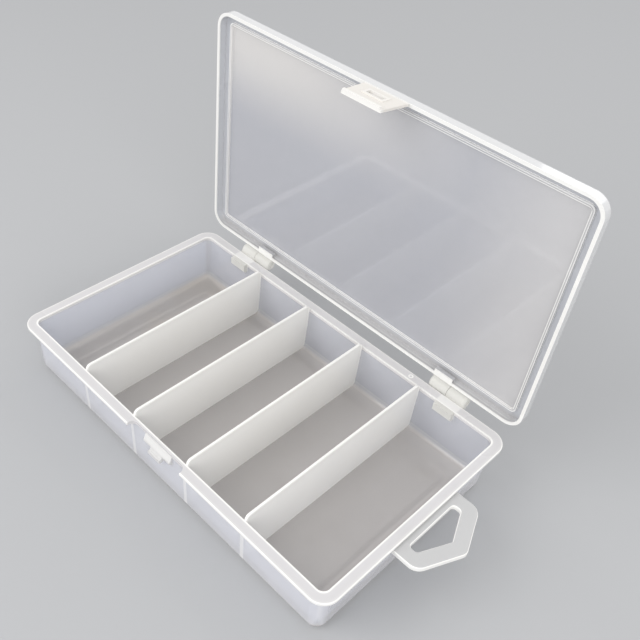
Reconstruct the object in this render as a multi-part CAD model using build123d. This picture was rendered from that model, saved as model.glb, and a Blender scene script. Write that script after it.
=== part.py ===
from build123d import *
import math
import os

# Hinged five-compartment tackle box, lid standing open.
# Millimetres, +Z up, origin at the centre of the tray's underside.
# +X is the handle side, -Y is the latch side, +Y is the hinge side.

# Tray
LENGTH = 200.0
WIDTH = 118.0
RIM_Z = 28.0
CORNER_R = 8.0
WALL_CORNER_R = 5.8
CAVITY_CORNER_R = 3.4
FLANGE_T = 1.6
FLANGE_EDGE_R = 0.4
OUTER_INSET = 3.5
OUTER_INSET_BOTTOM = 4.3
INNER_INSET = 5.0
INNER_INSET_BOTTOM = 5.6
FLOOR_T = 2.0
FOOT_R = 3.0
CAVITY_FOOT_R = 2.4
FOOT_RING_INSET = 14.0
FOOT_RING_W = 1.6
FOOT_RING_D = 0.4

# Dividers
DIVIDER_PITCH = 35.4
DIVIDER_T = 1.1
DIVIDER_ABOVE_RIM = 2.4
DIVIDER_TOP_R = 3.0
DIVIDER_GAP = 0.05

# Lid, drawn closed on the rim
LID_REST_GAP = 0.1
LID_DEPTH = 5.2
LID_T = 1.3
SKIRT_T = 1.5
LID_EDGE_R = 1.0
BEAD_INSET = 5.2
BEAD_W = 1.3
BEAD_H = 0.8
TAB_T = 1.8
TAB_H = 2.6

# Hinges
AXIS_BEHIND = 3.65
AXIS_ABOVE = 0.35
OPEN_DEG = 90.0
HINGE_FROM_END = 35.8
KNUCKLE_R = 3.15
KNUCKLE_HALF = 10.1
KNUCKLE_SPLIT = 0.3
KNUCKLE_END_R = 1.1
PIN_R = 0.9
PIN_CLEARANCE = 0.06
PIN_SETBACK = 0.6
BOSS_OUTBOARD = 4.3
BOSS_W = 10.0
BOSS_DEPTH = 2.4
BOSS_H = 5.2
LEAF_DROP = 0.2

# Latch flap, drawn hanging from the closed lid
FLAP_GAP = 0.3
FLAP_T = 1.1
FLAP_LEN = 16.3
FLAP_ROOT_W = 22.6
FLAP_END_W = 20.6
FLAP_CORNER_R = 0.7
FLAP_LIP_OUT = 1.1
FLAP_LIP_T = 1.3
FLAP_TILT_DEG = 6.5
SLOT_CLEAR_X = 0.45
SLOT_BORDER_W = 1.2
SLOT_BORDER_H = 0.4
SLOT_DROP = 5.6
CLASP_X = 1.4

# Catch on the front wall
CATCH_W = 17.4
CATCH_TOP_DROP = 1.0
CATCH_RAMP_H = 3.0
CATCH_LEDGE_H = 1.0
CATCH_LEDGE_Y = 2.0
TONGUE_W = 7.6
TONGUE_H = 2.3
TONGUE_TIP_Y = 0.35
TONGUE_STEP_Y = 1.5
TONGUE_NOSE = 0.7
TONGUE_CORNER_R = 0.9
TONGUE_CLEAR = 0.35
RECESS_W = 35.0
RECESS_R = 3.0
RECESS_RELIEF = 0.06

# Handle loop: outline points from the middle of the end wall
HANDLE_Y = 0.8
HANDLE_TOP_Z = 26.1
HANDLE_T = 2.6
HANDLE_APEX_X = 20.1
HANDLE_APEX_R = 4.0
HANDLE_SHOULDER_X = 11.2
HANDLE_SHOULDER_R = 6.0
HANDLE_HALF = 20.6
HOLE_NEAR_X = 2.6
HOLE_SHOULDER_X = 6.4
HOLE_APEX_X = 12.9
HOLE_HALF = 14.4
HOLE_R = 1.7
HOLE_APEX_R = 1.0
HANDLE_EDGE_R = 0.5

HINGE_X = LENGTH / 2 - HINGE_FROM_END
BOSS_X = HINGE_X + BOSS_OUTBOARD
FRONT_Y = -WIDTH / 2
REAR_Y = WIDTH / 2
AXIS_Y = REAR_Y + AXIS_BEHIND
AXIS_Z = RIM_Z + AXIS_ABOVE
LID_RIM_Z = RIM_Z + LID_REST_GAP
LID_TOP_Z = LID_RIM_Z + LID_DEPTH
SLOT_H = TONGUE_H + 2 * TONGUE_CLEAR
SLOT_W = TONGUE_W + 2 * SLOT_CLEAR_X

os.makedirs("parts", exist_ok=True)


def taper_deg(inset_top, inset_bottom, height):
    return math.degrees(math.atan((inset_bottom - inset_top) / height))


def tapered_block(inset_top, inset_bottom, z_low, z_high, corner_r, foot_r):
    height = z_high - z_low
    outline = RectangleRounded(
        LENGTH - 2 * inset_top, WIDTH - 2 * inset_top, corner_r
    )
    angle = taper_deg(inset_top, inset_bottom, height)
    block = extrude(Pos(0, 0, z_high) * outline, amount=-height, taper=angle)
    low_edges = block.faces().sort_by(Axis.Z)[0].edges()
    return fillet(low_edges, foot_r)


def slab(x0, x1, y0, y1, z0, z1):
    size = Box(x1 - x0, y1 - y0, z1 - z0)
    return Pos((x0 + x1) / 2, (y0 + y1) / 2, (z0 + z1) / 2) * size


def x_cylinder(radius, x0, x1, y, z):
    rod = Rot(0, 90, 0) * Cylinder(radius, x1 - x0)
    return Pos((x0 + x1) / 2, y, z) * rod


def about_hinge(shape, degrees):
    turned = Pos(0, -AXIS_Y, -AXIS_Z) * shape
    return Pos(0, AXIS_Y, AXIS_Z) * (Rot(degrees, 0, 0) * turned)


def opened(shape):
    return about_hinge(shape, -OPEN_DEG)


def outer_wall():
    return tapered_block(
        OUTER_INSET, OUTER_INSET_BOTTOM, 0, RIM_Z, WALL_CORNER_R, FOOT_R
    )


def cavity(gap):
    return tapered_block(
        INNER_INSET + gap, INNER_INSET_BOTTOM + gap,
        FLOOR_T + gap, RIM_Z, CAVITY_CORNER_R, CAVITY_FOOT_R,
    )


def make_tray():
    shell = outer_wall()
    flange = extrude(
        Pos(0, 0, RIM_Z - FLANGE_T) * RectangleRounded(LENGTH, WIDTH, CORNER_R),
        amount=FLANGE_T,
    )
    rim_edges = flange.faces().sort_by(Axis.Z)[0].edges()
    rim_edges += flange.faces().sort_by(Axis.Z)[-1].edges()
    flange = fillet(rim_edges, FLANGE_EDGE_R)
    recess = slab(
        CLASP_X - RECESS_W / 2, CLASP_X + RECESS_W / 2,
        FRONT_Y - 10, FRONT_Y + OUTER_INSET + RECESS_RELIEF,
        RIM_Z - 5, RIM_Z + 5,
    )
    recess = fillet(recess.edges().filter_by(Axis.Z).sort_by(Axis.Y)[2:], RECESS_R)
    ring_out = RectangleRounded(
        LENGTH - 2 * FOOT_RING_INSET, WIDTH - 2 * FOOT_RING_INSET, 4
    )
    ring_in = RectangleRounded(
        LENGTH - 2 * FOOT_RING_INSET - 2 * FOOT_RING_W,
        WIDTH - 2 * FOOT_RING_INSET - 2 * FOOT_RING_W,
        2.4,
    )
    groove = extrude(ring_out - ring_in, amount=FOOT_RING_D)
    tray = shell + (flange - recess)
    return tray - cavity(0) - groove


def make_divider(index):
    x = (index - 2.5) * DIVIDER_PITCH
    top_z = RIM_Z + DIVIDER_ABOVE_RIM
    half = WIDTH / 2 - INNER_INSET - 0.2
    low = cavity(DIVIDER_GAP) & slab(
        x - DIVIDER_T / 2, x + DIVIDER_T / 2, -WIDTH, WIDTH, 0, RIM_Z
    )
    crest = slab(x - DIVIDER_T / 2, x + DIVIDER_T / 2, -half, half, RIM_Z, top_z)
    ends = crest.edges().filter_by(Axis.X).sort_by(Axis.Z)[2:]
    crest = fillet(ends, DIVIDER_ABOVE_RIM - 0.05)
    return low + crest


def make_knuckle(x0, x1, outer_x):
    barrel = x_cylinder(KNUCKLE_R, x0, x1, AXIS_Y, AXIS_Z)
    rings = barrel.edges().filter_by(GeomType.CIRCLE)
    rings = rings.sort_by(lambda ring: abs(ring.center().X - outer_x))
    barrel = fillet(rings[0], KNUCKLE_END_R)
    bore = x_cylinder(PIN_R + PIN_CLEARANCE, x0 - 1, x1 + 1, AXIS_Y, AXIS_Z)
    return barrel, bore


def make_tray_knuckle(x0, x1, outer_x):
    barrel, bore = make_knuckle(x0, x1, outer_x)
    low_z = AXIS_Z - KNUCKLE_R
    leaf = slab(x0, x1, REAR_Y, AXIS_Y, low_z, RIM_Z - LEAF_DROP)
    root = slab(x0, x1, REAR_Y - OUTER_INSET - 2, REAR_Y, low_z, RIM_Z - FLANGE_T)
    return barrel + leaf + root - bore - outer_wall()


def make_boss(x_mid):
    inner_y = REAR_Y - INNER_INSET
    block = slab(
        x_mid - BOSS_W / 2, x_mid + BOSS_W / 2,
        inner_y - BOSS_DEPTH, inner_y + 1,
        RIM_Z - BOSS_H, RIM_Z - 0.1,
    )
    block = chamfer(block.faces().sort_by(Axis.Y)[0].edges().sort_by(Axis.Z)[0], 1.2)
    return block & cavity(0)


def make_lid_knuckle(x0, x1, outer_x):
    barrel, bore = make_knuckle(x0, x1, outer_x)
    arm = slab(x0, x1, REAR_Y, AXIS_Y, AXIS_Z, AXIS_Z + KNUCKLE_R)
    return opened(barrel + arm - bore)


def make_pin(x0, x1):
    return x_cylinder(PIN_R, x0 + PIN_SETBACK, x1 - PIN_SETBACK, AXIS_Y, AXIS_Z)


def make_lid():
    outline = RectangleRounded(LENGTH, WIDTH, CORNER_R)
    shell = extrude(Pos(0, 0, LID_RIM_Z) * outline, amount=LID_DEPTH)
    shell = fillet(shell.faces().sort_by(Axis.Z)[-1].edges(), LID_EDGE_R)
    hollow_outline = RectangleRounded(
        LENGTH - 2 * SKIRT_T, WIDTH - 2 * SKIRT_T, CORNER_R - SKIRT_T
    )
    hollow = extrude(Pos(0, 0, LID_RIM_Z) * hollow_outline, amount=LID_DEPTH - LID_T)
    bead_out = RectangleRounded(
        LENGTH - 2 * BEAD_INSET, WIDTH - 2 * BEAD_INSET, 2.2
    )
    bead_in = RectangleRounded(
        LENGTH - 2 * BEAD_INSET - 2 * BEAD_W, WIDTH - 2 * BEAD_INSET - 2 * BEAD_W, 0.9
    )
    bead_z = LID_TOP_Z - LID_T - BEAD_H
    bead = extrude(Pos(0, 0, bead_z) * (bead_out - bead_in), amount=BEAD_H)
    lid = shell - hollow + bead
    skirt_y = REAR_Y - SKIRT_T
    for sign in (-1, 1):
        ends = sorted((sign * (HINGE_X - KNUCKLE_SPLIT / 2), sign * (HINGE_X - KNUCKLE_HALF)))
        lid += slab(
            *ends, skirt_y - TAB_T, skirt_y + 0.5,
            LID_RIM_Z, LID_RIM_Z + TAB_H,
        )
    return opened(lid)


def make_latch():
    top_z = LID_RIM_Z - FLAP_GAP
    end_z = top_z - FLAP_LEN
    corners = [
        (-FLAP_ROOT_W / 2, top_z),
        (FLAP_ROOT_W / 2, top_z),
        (FLAP_END_W / 2, end_z),
        (-FLAP_END_W / 2, end_z),
    ]
    front = Plane(origin=(0, FRONT_Y + FLAP_T, 0), x_dir=(1, 0, 0), z_dir=(0, -1, 0))
    outline = make_face(Polyline(*corners, close=True))
    flap = extrude(front * outline, amount=FLAP_T)
    low = flap.edges().filter_by(Axis.Y).sort_by(Axis.Z)[:2]
    flap = fillet(low, FLAP_CORNER_R)
    lip = slab(
        -FLAP_END_W / 2 + FLAP_CORNER_R, FLAP_END_W / 2 - FLAP_CORNER_R,
        FRONT_Y - FLAP_LIP_OUT, FRONT_Y,
        end_z, end_z + FLAP_LIP_T,
    )
    slot_mid = LID_RIM_Z - SLOT_DROP - SLOT_H / 2
    border = slab(
        -SLOT_W / 2 - SLOT_BORDER_W, SLOT_W / 2 + SLOT_BORDER_W,
        FRONT_Y - SLOT_BORDER_H, FRONT_Y,
        slot_mid - SLOT_H / 2 - SLOT_BORDER_W, slot_mid + SLOT_H / 2 + SLOT_BORDER_W,
    )
    slot = slab(
        -SLOT_W / 2, SLOT_W / 2,
        FRONT_Y - 3, FRONT_Y + 3,
        slot_mid - SLOT_H / 2, slot_mid + SLOT_H / 2,
    )
    flap = flap + lip + border - slot
    pivot = Pos(0, FRONT_Y + FLAP_T / 2, LID_RIM_Z)
    tilted = pivot * Rot(-FLAP_TILT_DEG, 0, 0) * pivot.inverse() * flap
    return opened(Pos(CLASP_X, 0, 0) * tilted)


def yz_prism(points, width):
    side = Plane(origin=(-width / 2, 0, 0), x_dir=(0, 1, 0), z_dir=(1, 0, 0))
    return extrude(side * make_face(Polyline(*points, close=True)), amount=width)


def make_catch():
    wall_y = FRONT_Y + OUTER_INSET
    ledge_y = FRONT_Y + CATCH_LEDGE_Y
    step_y = FRONT_Y + TONGUE_STEP_Y
    tip_y = FRONT_Y + TONGUE_TIP_Y
    top_z = RIM_Z - CATCH_TOP_DROP
    ramp_z = top_z - CATCH_RAMP_H
    tongue_top = LID_RIM_Z - SLOT_DROP - TONGUE_CLEAR
    tongue_low = tongue_top - TONGUE_H
    ledge = yz_prism(
        [
            (wall_y + 2, top_z), (wall_y - 0.2, top_z), (ledge_y, ramp_z),
            (ledge_y, ramp_z - CATCH_LEDGE_H), (wall_y, ramp_z - 2 * CATCH_LEDGE_H),
            (wall_y + 2, ramp_z - 2 * CATCH_LEDGE_H),
        ],
        CATCH_W,
    )
    tongue = yz_prism(
        [
            (wall_y + 2, ramp_z), (ledge_y, ramp_z), (step_y, tongue_top),
            (tip_y, tongue_top - 0.1), (tip_y, tongue_low + TONGUE_NOSE),
            (tip_y + TONGUE_NOSE, tongue_low), (wall_y + 2, tongue_low),
        ],
        TONGUE_W,
    )
    low_corners = tongue.edges().filter_by(Axis.Y).sort_by(Axis.Z)[:2]
    tongue = fillet(low_corners, TONGUE_CORNER_R)
    return Pos(CLASP_X, 0, 0) * (ledge + tongue) - outer_wall()


def ring_outline(points, radii):
    face = make_face(Polyline(*points, close=True))
    for point, radius in zip(points, radii):
        if radius:
            corner = face.vertices().sort_by_distance((*point, 0))[0]
            face = fillet(corner, radius)
    return face


def make_handle():
    end_x = LENGTH / 2
    root_x = end_x - OUTER_INSET - 0.6
    outer = ring_outline(
        [
            (root_x, HANDLE_HALF), (root_x, -HANDLE_HALF),
            (end_x + HANDLE_SHOULDER_X, -HANDLE_HALF),
            (end_x + HANDLE_APEX_X, 0),
            (end_x + HANDLE_SHOULDER_X, HANDLE_HALF),
        ],
        [0, 0, HANDLE_SHOULDER_R, HANDLE_APEX_R, HANDLE_SHOULDER_R],
    )
    hole = ring_outline(
        [
            (end_x + HOLE_NEAR_X, HOLE_HALF), (end_x + HOLE_NEAR_X, -HOLE_HALF),
            (end_x + HOLE_SHOULDER_X, -HOLE_HALF),
            (end_x + HOLE_APEX_X, 0),
            (end_x + HOLE_SHOULDER_X, HOLE_HALF),
        ],
        [HOLE_R, HOLE_R, HOLE_R, HOLE_APEX_R, HOLE_R],
    )
    loop = extrude(
        Pos(0, 0, HANDLE_TOP_Z - HANDLE_T) * (outer - hole), amount=HANDLE_T
    )
    rounded = loop.edges().filter_by(
        lambda edge: edge.center().X > end_x + 1 and abs((edge % 0.5).Z) < 0.5
    )
    loop = fillet(rounded, HANDLE_EDGE_R)
    return Pos(0, HANDLE_Y, 0) * loop - outer_wall()


nodes = {
    "tray": make_tray(),
    "catch": make_catch(),
    "handle": make_handle(),
    "lid": make_lid(),
    "latch": make_latch(),
}
for number in range(1, 5):
    nodes[f"divider_{number}"] = make_divider(number)

for side, sign in (("left", -1), ("right", 1)):
    middle = sign * HINGE_X
    outer = middle + sign * KNUCKLE_HALF
    inner = middle - sign * KNUCKLE_HALF
    tray_x = sorted((middle + sign * KNUCKLE_SPLIT / 2, outer))
    lid_x = sorted((middle - sign * KNUCKLE_SPLIT / 2, inner))
    pin_x = sorted((outer, inner))
    nodes[f"tray_knuckle_{side}"] = make_tray_knuckle(*tray_x, outer)
    nodes[f"hinge_boss_{side}"] = make_boss(sign * BOSS_X)
    nodes[f"lid_knuckle_{side}"] = make_lid_knuckle(*lid_x, inner)
    nodes[f"hinge_pin_{side}"] = make_pin(*pin_x)

for name, shape in nodes.items():
    export_step(shape, f"parts/{name}.step")
    box = shape.bounding_box()
    print(name, round(shape.volume, 1), len(shape.solids()), box.min, box.max)
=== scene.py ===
import bmesh
import bpy
from mathutils import Matrix, Vector


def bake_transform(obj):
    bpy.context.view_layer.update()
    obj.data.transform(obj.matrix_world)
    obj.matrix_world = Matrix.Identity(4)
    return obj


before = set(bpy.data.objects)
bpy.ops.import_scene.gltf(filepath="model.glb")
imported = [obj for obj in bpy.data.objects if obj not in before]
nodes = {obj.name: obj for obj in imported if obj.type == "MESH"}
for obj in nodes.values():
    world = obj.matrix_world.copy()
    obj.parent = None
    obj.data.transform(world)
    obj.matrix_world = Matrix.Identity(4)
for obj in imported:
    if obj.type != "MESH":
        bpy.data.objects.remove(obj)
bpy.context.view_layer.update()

MM = 0.001

# The box as the CAD has it, in millimetres
HALF_LENGTH = 100.0
HALF_WIDTH = 59.0
CORNER_R = 8.0
LID_MIDDLE_Z = 91.0
LID_RIM_Y = 62.4
PANEL_Y = 66.3
BOSS_X = 68.5
DIVIDER_COUNT = 4
DIVIDER_PITCH = 35.4
CLASP_X = 1.4
SLOT_Y = 55.4

# The thin bend of the latch, in millimetres
FILM_SIZE = (21.0, 1.2, 0.5)
FILM_MIDDLE = Vector((CLASP_X, 62.25, 149.45))
FILM_CUTS = 7
WELD_METRES = 1e-7

# The photograph's camera: places in metres, lens and sensor in millimetres
CAMERA_AT = Vector((0.17787, -0.18231, 0.29586))
CAMERA_RIGHT = Vector((0.696588, 0.713979, 0.070711))
CAMERA_UP = Vector((-0.523012, 0.437849, 0.731264))
CAMERA_LENS = 45.571
CAMERA_SENSOR = 36.0
CAMERA_SHIFT = (0.0594, 0.0125)
CAMERA_CLIP = (0.01, 20.0)

# Floor, with half its side in metres, backdrop and the light all round
FLOOR_HALF = 6.0
FLOOR_COLOUR = (0.43, 0.435, 0.445, 1.0)
FLOOR_ROUGHNESS = 0.85
FLOOR_SPECULAR = 0.1
BACKDROP_COLOUR = (0.375, 0.38, 0.388, 1.0)
BACKDROP_STRENGTH = 1.0
SKY_COLOUR = (1.0, 1.0, 1.0, 1.0)
SKY_STRENGTH = 0.85

# Moulded polypropylene; noise scales are per metre
PLASTIC_IOR = 1.49
COAT_ROUGHNESS = 0.04
BUMP_METRES = 0.001
BROAD_CLOUD_SCALE = 22.0
FINE_CLOUD_SCALE = 140.0
GRAIN_SCALE = 900.0
WAVE_SCALE = 38.0
BROAD_CLOUD_SHARE = 0.75
FINE_CLOUD_SHARE = 0.25
GRAIN_HEIGHT = 0.25
WAVE_HEIGHT = 0.9

# Opacity, from thin clear walls to thick plastic and edges
WALL_ALPHA = 0.56
RIM_ALPHA = 0.92
DIVIDER_ALPHA = 0.84
DIVIDER_EDGE_ALPHA = 0.98
PANEL_ALPHA = 0.56
LID_FRAME_ALPHA_GAIN = 0.06
LID_EDGE_ALPHA_GAIN = 0.34
HANDLE_ALPHA = 0.84
HANDLE_EDGE_ALPHA = 0.98
LATCH_ALPHA = 0.95

# Roughness that a rim has over the gloss beside it
TRAY_RIM_ROUGHNESS_GAIN = 0.16
LID_RIM_ROUGHNESS_GAIN = 0.14

MATH_INPUTS = ("Value", "Value_001")


class Value:
    """A socket that can be used in arithmetic."""

    def __init__(self, finish, socket):
        self.finish = finish
        self.socket = socket

    def math(self, operation, *others):
        return self.finish.math(operation, self, *others)

    def __add__(self, other):
        return self.math("ADD", other)

    def __sub__(self, other):
        return self.math("SUBTRACT", other)

    def __rsub__(self, other):
        return self.finish.math("SUBTRACT", other, self)

    def __mul__(self, other):
        return self.math("MULTIPLY", other)

    def __pow__(self, other):
        return self.math("POWER", other)

    def __abs__(self):
        return self.math("ABSOLUTE")

    __radd__ = __add__
    __rmul__ = __mul__

    def least(self, other):
        return self.math("MINIMUM", other)

    def most(self, other):
        return self.math("MAXIMUM", other)

    def rise(self, low, high):
        """0 below low, 1 above high, smooth between."""
        return self.finish.add(
            "ShaderNodeMapRange",
            {"interpolation_type": "SMOOTHSTEP"},
            {"Value": self, "From Min": low, "From Max": high},
        )

    def fall(self, low, high):
        """1 below low, 0 above high, smooth between."""
        return 1 - self.rise(low, high)

    def line(self, middle, half, soft):
        """1 within half of middle, fading over soft."""
        return abs(self - middle).fall(half, half + soft)


class Finish:
    """One finish and the nodes behind it."""

    def __init__(self, name):
        self.material = bpy.data.materials.new(name)
        self.material.use_nodes = True
        self.tree = self.material.node_tree
        self.tree.nodes.clear()

    def add(self, kind, settings, sockets, output=0):
        """A new node's output, by name or number; sockets take values or links."""
        node = self.tree.nodes.new(kind)
        for key, value in settings.items():
            setattr(node, key, value)
        for key, value in sockets.items():
            socket = next(s for s in node.inputs if key in (s.identifier, s.name))
            if isinstance(value, Value):
                self.tree.links.new(value.socket, socket)
            else:
                socket.default_value = value
        if not node.outputs:
            return node
        found = [s for s in node.outputs if output in (s.identifier, s.name)]
        return Value(self, found[0] if found else node.outputs[output])

    def math(self, operation, *values):
        return self.add(
            "ShaderNodeMath", {"operation": operation}, dict(zip(MATH_INPUTS, values))
        )

    def blend(self, factor, first, second):
        """The first colour where factor is 0, the second where it is 1."""
        return self.add(
            "ShaderNodeMix",
            {"data_type": "RGBA"},
            {"Factor_Float": factor, "A_Color": first, "B_Color": second},
            "Result_Color",
        )

    def axes(self, vector):
        """A vector's x, y and z."""
        return [
            self.add("ShaderNodeSeparateXYZ", {}, {"Vector": vector}, axis)
            for axis in "XYZ"
        ]

    def place(self):
        """The Object coordinates, and their x, y, z in millimetres."""
        spot = self.add("ShaderNodeTexCoord", {}, {}, "Object")
        return spot, [part * (1 / MM) for part in self.axes(spot)]

    def facing(self):
        """Object-space normal's x, y, z sizes."""
        normal = self.add("ShaderNodeTexCoord", {}, {}, "Normal")
        return [abs(part) for part in self.axes(normal)]

    def noise(self, spot, scale, detail=2.0, rough=0.5):
        return self.add(
            "ShaderNodeTexNoise",
            {},
            {"Vector": spot, "Scale": scale, "Detail": detail, "Roughness": rough},
        )

    def shader(self, colour, alpha, roughness, height, grain, coat=0.0, lit=0.0):
        """Plastic with a fine bump, a clear coat and a painted glow of its own colour,
        standing in for light that passes through it.
        """
        bump = self.add(
            "ShaderNodeBump",
            {},
            {"Strength": grain, "Distance": BUMP_METRES, "Height": height},
        )
        body = self.add(
            "ShaderNodeBsdfPrincipled",
            {},
            {
                "Base Color": colour,
                "Alpha": alpha,
                "Roughness": roughness,
                "Normal": bump,
                "IOR": PLASTIC_IOR,
                "Coat Weight": coat,
                "Coat Roughness": COAT_ROUGHNESS,
                "Emission Color": colour,
                "Emission Strength": lit,
            },
        )
        self.add("ShaderNodeOutputMaterial", {}, {"Surface": body})
        return self.material


def rgb(red, green, blue):
    """A linear colour from its 8-bit screen values, by the sRGB curve."""
    def linear(value):
        share = value / 255
        return share / 12.92 if share <= 0.04045 else ((share + 0.055) / 1.055) ** 2.4

    return (linear(red), linear(green), linear(blue), 1.0)


# Painted highlight along edges and lines, where the plastic is also thicker and more
# solid
PALE_EDGE_HIGHLIGHT = rgb(240, 239, 236)
RIM_MILK = rgb(212, 210, 210)
RIM_SHADE = rgb(190, 189, 192)
WALL_MILK = rgb(211, 214, 224)
REAR_WALL_SHADE = rgb(190, 191, 198)
OUTER_MILK_PAINTED_LIGHT = rgb(234, 235, 243)
FLOOR_MILK = rgb(214, 209, 206)
FLOOR_WARM = rgb(214, 204, 190)
DIVIDER_MILK = rgb(238, 237, 234)
DIVIDER_LOW = rgb(252, 251, 249)
PANEL_MILK = rgb(186, 187, 194)
PANEL_REFLECTION = rgb(224, 221, 219)
FRAME_MILK = rgb(208, 210, 216)
FRAME_SHADE = rgb(186, 184, 184)
LATCH_MILK = rgb(228, 224, 218)
HINGE_MILK = rgb(221, 220, 215)
CATCH_MILK = rgb(220, 219, 218)
HANDLE_MILK = rgb(200, 200, 200)

# Where each tone of a finish lies, in millimetres. A pair is where it starts and
# ends. Three numbers are a line's middle, half width and fade. A gap is measured
# outwards from the rim's outline, so it is negative inside. A reach is measured
# from a feature's middle. A share is how much of a tone shows.
FLOOR_TOP_Z = (2.1, 4.6)
INNER_WALL_GAP = (-6.2, -5.4)
OUTER_WALL_GAP = (-4.75, -4.55)
OUTER_WALL_FOOT_Z = (1.5, 3.0)
OUTER_WALL_TOP_Z = (25.8, 26.3)
REAR_WALL_Y = (50.5, 53.0)
REAR_SHADE_SHARE = 0.8
FOOT_LINE_Z = (4.4, 0.25, 0.5)
FOOT_LINE_SHARE = 0.3
UNDER_LINE_Z = (2.4, 0.5, 0.9)
UNDER_LINE_SHARE = 0.55
RIM_GAP = (-5.4, -5.1)
RIM_Z = (26.1, 26.5)
RIM_INNER_EDGE_GAP = (-4.85, 0.3, 0.4)
RIM_OUTER_EDGE_GAP = (-0.75, -0.3)
RIM_OUTER_EDGE_Z = (26.2, 26.5)
RIM_TOP_EDGE_Z = (27.2, 27.7)
RIM_SHADE_GAP = (-2.6, 0.9, 1.2)
RIM_SHADE_Z = (27.6, 27.9)
RIM_SHADE_SHARE = 0.3
PAD_REACH = (5.0, 6.2)
PAD_Y = (50.0, 52.5)
PAD_Z = (22.0, 24.5)
PAD_SHARE = 0.6
BEHIND_DIVIDER_REACH = (0.6, 1.4)
BEHIND_DIVIDER_Y = (53.5, 54.0)
BEHIND_DIVIDER_SHARE = 0.65
# Painted highlight on the tray's outer corners
CORNER_HIGHLIGHT_X = (93.0, 95.5)
CORNER_HIGHLIGHT_Y = (52.0, 54.5)
CORNER_HIGHLIGHT_SHARE = 0.6

# Moulding gate on the rear rim: its place in x and y, and its ring as a line, a painted
# highlight
GATE = (46.3, 56.6)
GATE_RING = (0.9, 0.2, 0.25)

# The warm patches are at least partly painted light and reflection
# Warm patches in the first compartment: noise per metre, and the levels of noise
# and the x between which they start and end
WARM_SCALE = 16.0
WARM_LEVELS = (0.42, 0.66)
WARM_X = (-58.0, -50.0)
WARM_SHARE = 0.5

DIVIDER_LOW_Z = (2.0, 22.0)
DIVIDER_LOW_SHARE = 0.3
DIVIDER_TOP_Z = (29.4, 30.0)
DIVIDER_TOP_SHARE = 0.75
DIVIDER_END_Y = (52.6, 53.4)
DIVIDER_END_SHARE = 0.8
DIVIDER_FOOT_Z = (2.4, 3.4)
DIVIDER_FOOT_SHARE = 0.5

LID_FRAME_GAP = (-5.9, -5.2)
LID_BEAD_OUTER_GAP = (-5.3, 0.25, 0.2)
LID_BEAD_INNER_GAP = (-6.4, 0.25, 0.2)
LID_BEAD_Y = (PANEL_Y - 0.1, PANEL_Y + 0.2)
LID_BEAD_SHARE = 0.8
LID_RIM_EDGE_Y = (LID_RIM_Y + 0.25, LID_RIM_Y + 0.7)
LID_OUTER_GAP = (-1.3, -0.8)
LID_OUTER_SHARE = 0.55
LID_OUTER_SOLID_SHARE = 0.6
SKIRT_LINE_Y = (LID_RIM_Y + 1.9, 0.15, 0.2)
SKIRT_LINE_Z = (32.6, 34.2)
SKIRT_LINE_SHARE = 0.8
# Where the painted reflection on the lid's panel lies
PANEL_UPPER_Z = (98.0, 138.0)
PANEL_UPPER_X = (-70.0, 70.0)
PANEL_RIGHT_X = (30.0, 96.0)
PANEL_RIGHT_SHARE = 0.6
LOWER_FRAME_Z = (34.0, 37.0)
LOWER_FRAME_SHARE = 0.8

LATCH_BEND_Y = (60.8, 61.8)
LATCH_BEND_SHARE = 0.5
LATCH_FREE_Y = (47.0, 48.0)
LATCH_FREE_SHARE = 0.7
LATCH_SLOT_REACH_X = (5.4, 5.9)
LATCH_SLOT_REACH_Y = (2.6, 3.2)
LATCH_SLOT_SHARE = 0.35

# How squarely the handle's surface faces up or down where its painted edge highlight
# ends
HANDLE_EDGE_FACING = (0.85, 0.99)


def outline_gap(across, along):
    """Distance outside the rim's rounded outline, negative inside."""
    u = abs(across) - (HALF_LENGTH - CORNER_R)
    v = abs(along) - (HALF_WIDTH - CORNER_R)
    outside = (u.most(0) ** 2 + v.most(0) ** 2) ** 0.5
    return outside + u.most(v).least(0) - CORNER_R


def between(low, high, share):
    """low where share is 0, high where it is 1."""
    return low + (high - low) * share


def cloud(finish, spot, low=0.94, high=1.03):
    """Soft uneven milkiness of moulded polypropylene."""
    broad = finish.noise(spot, BROAD_CLOUD_SCALE, detail=3.0, rough=0.55)
    fine = finish.noise(spot, FINE_CLOUD_SCALE, rough=0.6)
    return between(low, high, broad * BROAD_CLOUD_SHARE + fine * FINE_CLOUD_SHARE)


def shaded(finish, colour, amount):
    """A colour made darker or paler by an amount."""
    return finish.add(
        "ShaderNodeVectorMath",
        {"operation": "SCALE"},
        {"Vector": colour, "Scale": amount},
    )


def skin(finish, spot):
    """Fine satin grain with slow waves across the moulding."""
    grain = finish.noise(spot, GRAIN_SCALE) * GRAIN_HEIGHT
    waves = finish.noise(spot, WAVE_SCALE) * WAVE_HEIGHT
    return grain + waves


def satin(finish, spot, base, spread, scale):
    """Roughness that drifts a little across the moulding."""
    return base + spread * finish.noise(spot, scale)


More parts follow.
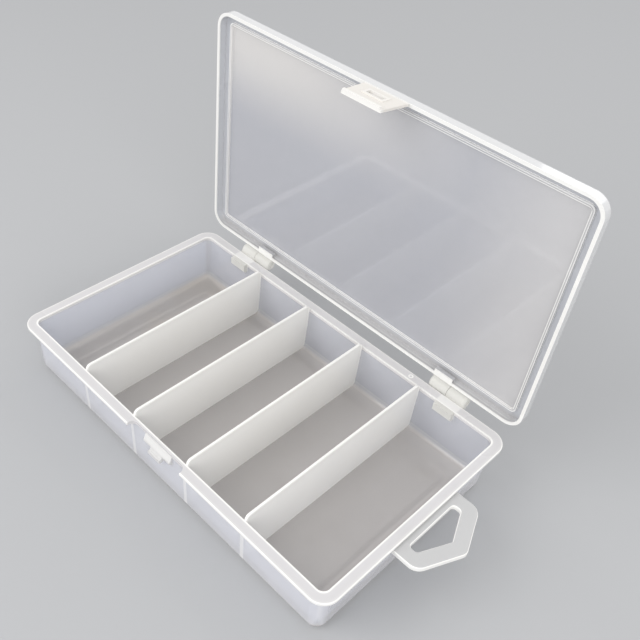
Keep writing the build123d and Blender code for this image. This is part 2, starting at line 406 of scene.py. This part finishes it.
def tray_plastic():
    finish = Finish("tray_milky_polypropylene")
    spot, (x, y, z) = finish.place()
    gap = outline_gap(x, y)
    in_wall = gap.rise(*INNER_WALL_GAP)
    outside = gap.rise(*OUTER_WALL_GAP)
    low = z.fall(*FLOOR_TOP_Z)
    colour = finish.blend(low, WALL_MILK, FLOOR_MILK)
    patches = finish.noise(spot, WARM_SCALE).rise(*WARM_LEVELS)
    warm = patches * low * x.fall(*WARM_X) * WARM_SHARE
    colour = finish.blend(warm, colour, FLOOR_WARM)
    # Painted shade: the rear wall's inner face is darker
    rear = y.rise(*REAR_WALL_Y) * (1 - low) * REAR_SHADE_SHARE
    colour = finish.blend(rear, colour, REAR_WALL_SHADE)
    # Painted light: the walls' outer faces are paler than their inner faces
    colour = finish.blend(outside, colour, OUTER_MILK_PAINTED_LIGHT)

    # Painted highlights: pale lines at the floor's edge inside and along the foot
    # outside
    foot_line = z.line(*FOOT_LINE_Z) * (1 - outside) * in_wall * FOOT_LINE_SHARE
    under_line = z.line(*UNDER_LINE_Z) * outside * UNDER_LINE_SHARE
    colour = finish.blend(foot_line.most(under_line), colour, PALE_EDGE_HIGHLIGHT)
    rim = z.rise(*RIM_Z) * gap.rise(*RIM_GAP)
    colour = finish.blend(rim, colour, RIM_MILK)
    shade = gap.line(*RIM_SHADE_GAP) * z.rise(*RIM_SHADE_Z) * RIM_SHADE_SHARE
    colour = finish.blend(shade, colour, RIM_SHADE)

    # Painted highlights: pale lines along the rim's inner and outer edges
    top_edge = z.rise(*RIM_TOP_EDGE_Z)
    inner_edge = gap.line(*RIM_INNER_EDGE_GAP) * top_edge
    outer_edge = gap.rise(*RIM_OUTER_EDGE_GAP) * z.rise(*RIM_OUTER_EDGE_Z)
    # Pale patches at the hinge bosses, where the plastic is thicker, with painted
    # highlight
    pads = abs(abs(x) - BOSS_X).fall(*PAD_REACH) * y.rise(*PAD_Y) * z.rise(*PAD_Z)
    gate = ((x - GATE[0]) ** 2 + (y - GATE[1]) ** 2) ** 0.5
    gate_ring = gate.line(*GATE_RING) * top_edge

    below_rim = z.fall(*OUTER_WALL_TOP_Z)
    # Painted light: pale upright lines on the outer walls stand for the dividers seen
    # through them
    divider_gap = abs(abs(abs(x) - DIVIDER_PITCH) - DIVIDER_PITCH / 2)
    behind = divider_gap.fall(*BEHIND_DIVIDER_REACH) * BEHIND_DIVIDER_SHARE * outside
    behind = behind * abs(y).rise(*BEHIND_DIVIDER_Y)
    behind = behind * z.rise(*OUTER_WALL_FOOT_Z) * below_rim
    # Painted highlight: pale outer corners of the walls
    corner_highlight = abs(x).rise(*CORNER_HIGHLIGHT_X) * abs(y).rise(*CORNER_HIGHLIGHT_Y) * outside * below_rim
    corner_highlight = corner_highlight * CORNER_HIGHLIGHT_SHARE
    highlight = inner_edge.most(outer_edge).most(pads * PAD_SHARE).most(gate_ring)
    colour = finish.blend(highlight.most(behind).most(corner_highlight), colour, PALE_EDGE_HIGHLIGHT)
    colour = shaded(finish, colour, cloud(finish, spot))

    solid = rim.most(pads).most(behind).most(corner_highlight)
    alpha = between(WALL_ALPHA, RIM_ALPHA, solid)
    roughness = satin(finish, spot, base=0.09, spread=0.06, scale=30.0)
    roughness = roughness + TRAY_RIM_ROUGHNESS_GAIN * rim
    height = skin(finish, spot)
    return finish.shader(
        colour, alpha, roughness, height, grain=0.01, coat=1.0, lit=0.05
    )


def divider_plastic():
    finish = Finish("divider_milky_polypropylene")
    spot, (_, y, z) = finish.place()
    # Painted light: the dividers are paler towards the bottom, against the shade that
    # falls there
    low = z.fall(*DIVIDER_LOW_Z) * DIVIDER_LOW_SHARE
    colour = finish.blend(low, DIVIDER_MILK, DIVIDER_LOW)
    # Painted highlights along the dividers' top, ends and foot
    top = z.rise(*DIVIDER_TOP_Z) * DIVIDER_TOP_SHARE
    ends = abs(y).rise(*DIVIDER_END_Y) * DIVIDER_END_SHARE
    foot = z.fall(*DIVIDER_FOOT_Z) * DIVIDER_FOOT_SHARE
    edge = top.most(ends).most(foot)
    colour = finish.blend(edge, colour, PALE_EDGE_HIGHLIGHT)
    colour = shaded(finish, colour, cloud(finish, spot, low=0.95, high=1.02))

    alpha = between(DIVIDER_ALPHA, DIVIDER_EDGE_ALPHA, edge)
    roughness = satin(finish, spot, base=0.2, spread=0.08, scale=35.0)
    height = skin(finish, spot)
    return finish.shader(
        colour, alpha, roughness, height, grain=0.03, coat=0.2, lit=0.05
    )


def lid_plastic():
    finish = Finish("lid_milky_polypropylene")
    spot, (x, y, z) = finish.place()
    gap = outline_gap(x, z - LID_MIDDLE_Z)
    # Painted reflection: paler upper and right areas of the lid's panel
    upper_reflection = z.rise(*PANEL_UPPER_Z) * x.fall(*PANEL_UPPER_X)
    right = x.rise(*PANEL_RIGHT_X) * PANEL_RIGHT_SHARE
    colour = finish.blend(upper_reflection.most(right), PANEL_MILK, PANEL_REFLECTION)
    frame_band = gap.rise(*LID_FRAME_GAP)
    colour = finish.blend(frame_band, colour, FRAME_MILK)
    # Painted shade: the lower part of the lid's frame is darker
    lower_frame = z.fall(*LOWER_FRAME_Z) * frame_band * LOWER_FRAME_SHARE
    colour = finish.blend(lower_frame, colour, FRAME_SHADE)

    # Painted highlights along the lid's bead, rim edge, outer band and skirt
    bead = gap.line(*LID_BEAD_OUTER_GAP).most(gap.line(*LID_BEAD_INNER_GAP))
    bead = bead * LID_BEAD_SHARE
    rim = y.fall(*LID_RIM_EDGE_Y)
    outer = gap.rise(*LID_OUTER_GAP)
    skirt_line = y.line(*SKIRT_LINE_Y) * z.fall(*SKIRT_LINE_Z) * SKIRT_LINE_SHARE
    highlight = (bead * y.fall(*LID_BEAD_Y)).most(rim)
    highlight = highlight.most(outer * LID_OUTER_SHARE).most(skirt_line)
    colour = finish.blend(highlight, colour, PALE_EDGE_HIGHLIGHT)
    colour = shaded(finish, colour, cloud(finish, spot, low=0.95, high=1.03))

    solid = rim.most(outer * LID_OUTER_SOLID_SHARE).most(bead)
    alpha = PANEL_ALPHA + LID_FRAME_ALPHA_GAIN * frame_band
    alpha = alpha + LID_EDGE_ALPHA_GAIN * solid
    roughness = satin(finish, spot, base=0.06, spread=0.05, scale=26.0)
    roughness = roughness + LID_RIM_ROUGHNESS_GAIN * rim
    height = skin(finish, spot)
    return finish.shader(colour, alpha, roughness, height, grain=0.012, coat=1.0)


def solid_plastic(name, body, highlight_from, highlight_to, opacity, roughness, lit=0.0):
    """Thicker moulded detail, with a painted highlight where a surface turns away from
    the axes.
    """
    finish = Finish(name)
    spot, _ = finish.place()
    along_x, along_y, along_z = finish.facing()
    edge = along_x.most(along_y).most(along_z).fall(highlight_from, highlight_to)
    colour = finish.blend(edge, body, PALE_EDGE_HIGHLIGHT)
    colour = shaded(finish, colour, cloud(finish, spot, low=0.96, high=1.02))
    roughness = satin(finish, spot, base=roughness, spread=0.08, scale=60.0)
    height = skin(finish, spot)
    return finish.shader(colour, opacity, roughness, height, grain=0.04, lit=lit)


def handle_plastic():
    finish = Finish("handle_milky_polypropylene")
    spot, _ = finish.place()
    _, _, along_z = finish.facing()
    edge = along_z.fall(*HANDLE_EDGE_FACING)
    colour = finish.blend(edge, HANDLE_MILK, PALE_EDGE_HIGHLIGHT)
    colour = shaded(finish, colour, cloud(finish, spot, low=0.96, high=1.02))
    alpha = between(HANDLE_ALPHA, HANDLE_EDGE_ALPHA, edge)
    roughness = satin(finish, spot, base=0.26, spread=0.08, scale=60.0)
    return finish.shader(colour, alpha, roughness, skin(finish, spot), grain=0.04)


def latch_plastic():
    finish = Finish("latch_milky_polypropylene")
    spot, (x, y, _) = finish.place()
    # Painted highlights at the latch's bend, its free end and around the slot
    bend = y.rise(*LATCH_BEND_Y) * LATCH_BEND_SHARE
    free = y.fall(*LATCH_FREE_Y) * LATCH_FREE_SHARE
    slot = abs(x - CLASP_X).fall(*LATCH_SLOT_REACH_X)
    slot = slot * abs(y - SLOT_Y).fall(*LATCH_SLOT_REACH_Y) * LATCH_SLOT_SHARE
    colour = finish.blend(bend.most(free).most(slot), LATCH_MILK, PALE_EDGE_HIGHLIGHT)
    colour = shaded(finish, colour, cloud(finish, spot, low=0.97, high=1.02))
    roughness = satin(finish, spot, base=0.26, spread=0.08, scale=60.0)
    return finish.shader(colour, LATCH_ALPHA, roughness, skin(finish, spot), grain=0.04)


def dress(names, material):
    for name in names:
        mesh = nodes[name].data
        mesh.materials.clear()
        mesh.materials.append(material)


hinge_finish = solid_plastic(
    "hinge_milky_polypropylene",
    HINGE_MILK,
    highlight_from=0.3,
    highlight_to=0.5,
    opacity=0.68,
    roughness=0.45,
    lit=0.08,
)
pin_finish = solid_plastic(
    "pin_white_polypropylene",
    HINGE_MILK,
    highlight_from=0.6,
    highlight_to=0.95,
    opacity=1.0,
    roughness=0.3,
)
catch_finish = solid_plastic(
    "catch_milky_polypropylene",
    CATCH_MILK,
    highlight_from=0.8,
    highlight_to=0.995,
    opacity=0.86,
    roughness=0.26,
)
latch_finish = latch_plastic()

dress(["tray"], tray_plastic())
dress([f"divider_{i + 1}" for i in range(DIVIDER_COUNT)], divider_plastic())
dress(["lid"], lid_plastic())
dress(["latch"], latch_finish)
dress(["handle"], handle_plastic())
dress(["catch"], catch_finish)
for side in ("left", "right"):
    hinge_parts = ("tray_knuckle", "lid_knuckle", "hinge_boss")
    dress([f"{part}_{side}" for part in hinge_parts], hinge_finish)
    dress([f"hinge_pin_{side}"], pin_finish)


def piece(name, shape, material):
    """Turns a bmesh drawn in millimetres into a piece."""
    bmesh.ops.scale(shape, vec=(MM, MM, MM), verts=shape.verts)
    bmesh.ops.remove_doubles(shape, verts=shape.verts, dist=WELD_METRES)
    bmesh.ops.recalc_face_normals(shape, faces=shape.faces)
    mesh = bpy.data.meshes.new(name)
    shape.to_mesh(mesh)
    shape.free()
    mesh.materials.append(material)
    made = bpy.data.objects.new(name, mesh)
    bpy.context.scene.collection.objects.link(made)
    return made


def bend_film(material):
    """The thin moulded bend that joins the flap to the lid's rim."""
    shape = bmesh.new()
    bmesh.ops.create_cube(shape, size=1.0)
    bmesh.ops.scale(shape, vec=FILM_SIZE, verts=shape.verts)
    across = [
        edge
        for edge in shape.edges
        if abs(edge.verts[0].co.y - edge.verts[1].co.y) > FILM_SIZE[1] / 2
    ]
    bmesh.ops.subdivide_edges(shape, edges=across, cuts=FILM_CUTS, use_grid_fill=True)
    bmesh.ops.translate(shape, vec=FILM_MIDDLE, verts=shape.verts)
    film = piece("latch_bend_film", shape, material)
    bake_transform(film)


bend_film(latch_finish)


def stage_floor():
    shape = bmesh.new()
    bmesh.ops.create_grid(shape, x_segments=1, y_segments=1, size=FLOOR_HALF)
    mesh = bpy.data.meshes.new("floor")
    shape.to_mesh(mesh)
    shape.free()
    finish = Finish("pale_floor")
    body = finish.add(
        "ShaderNodeBsdfPrincipled",
        {},
        {
            "Base Color": FLOOR_COLOUR,
            "Roughness": FLOOR_ROUGHNESS,
            "Specular IOR Level": FLOOR_SPECULAR,
        },
    )
    finish.add("ShaderNodeOutputMaterial", {}, {"Surface": body})
    mesh.materials.append(finish.material)
    floor = bpy.data.objects.new("floor", mesh)
    bpy.context.scene.collection.objects.link(floor)


def softbox(name, place, aim, size, watts):
    """A rectangular lamp; places and sizes are in metres."""
    lamp = bpy.data.lights.new(name, "AREA")
    lamp.shape = "RECTANGLE"
    lamp.size, lamp.size_y = size
    lamp.energy = watts
    holder = bpy.data.objects.new(name, lamp)
    bpy.context.scene.collection.objects.link(holder)
    holder.location = place
    away = Vector(place) - Vector(aim)
    holder.rotation_euler = away.to_track_quat("Z", "Y").to_euler()


def surround():
    """Even light all round, with the backdrop's colour where the camera looks."""
    world = bpy.data.worlds.new("studio")
    bpy.context.scene.world = world
    world.use_nodes = True
    tree = world.node_tree
    tree.nodes.clear()
    light = tree.nodes.new("ShaderNodeBackground")
    light.inputs["Color"].default_value = SKY_COLOUR
    light.inputs["Strength"].default_value = SKY_STRENGTH
    seen = tree.nodes.new("ShaderNodeBackground")
    seen.inputs["Color"].default_value = BACKDROP_COLOUR
    seen.inputs["Strength"].default_value = BACKDROP_STRENGTH
    path = tree.nodes.new("ShaderNodeLightPath")
    choose = tree.nodes.new("ShaderNodeMixShader")
    out = tree.nodes.new("ShaderNodeOutputWorld")
    tree.links.new(path.outputs["Is Camera Ray"], choose.inputs[0])
    tree.links.new(light.outputs[0], choose.inputs[1])
    tree.links.new(seen.outputs[0], choose.inputs[2])
    tree.links.new(choose.outputs[0], out.inputs["Surface"])


def set_camera():
    camera = bpy.data.cameras.new("camera")
    camera.lens = CAMERA_LENS
    camera.sensor_width = CAMERA_SENSOR
    camera.shift_x, camera.shift_y = CAMERA_SHIFT
    camera.clip_start, camera.clip_end = CAMERA_CLIP
    holder = bpy.data.objects.new("camera", camera)
    bpy.context.scene.collection.objects.link(holder)
    back = CAMERA_RIGHT.cross(CAMERA_UP)
    turn = Matrix((CAMERA_RIGHT, CAMERA_UP, back)).transposed().to_4x4()
    holder.matrix_world = Matrix.Translation(CAMERA_AT) @ turn
    bpy.context.scene.camera = holder


stage_floor()
surround()
set_camera()
softbox("key", (-0.45, -0.85, 0.8), aim=(0, 0, 0.03), size=(0.9, 0.9), watts=7.0)
softbox("side", (0.9, -0.5, 0.5), aim=(0, 0, 0.05), size=(0.7, 0.7), watts=4.5)
softbox("back", (0.1, 0.9, 0.8), aim=(0, 0, 0.08), size=(0.9, 0.5), watts=2.0)
bpy.context.scene.view_settings.view_transform = "Standard"
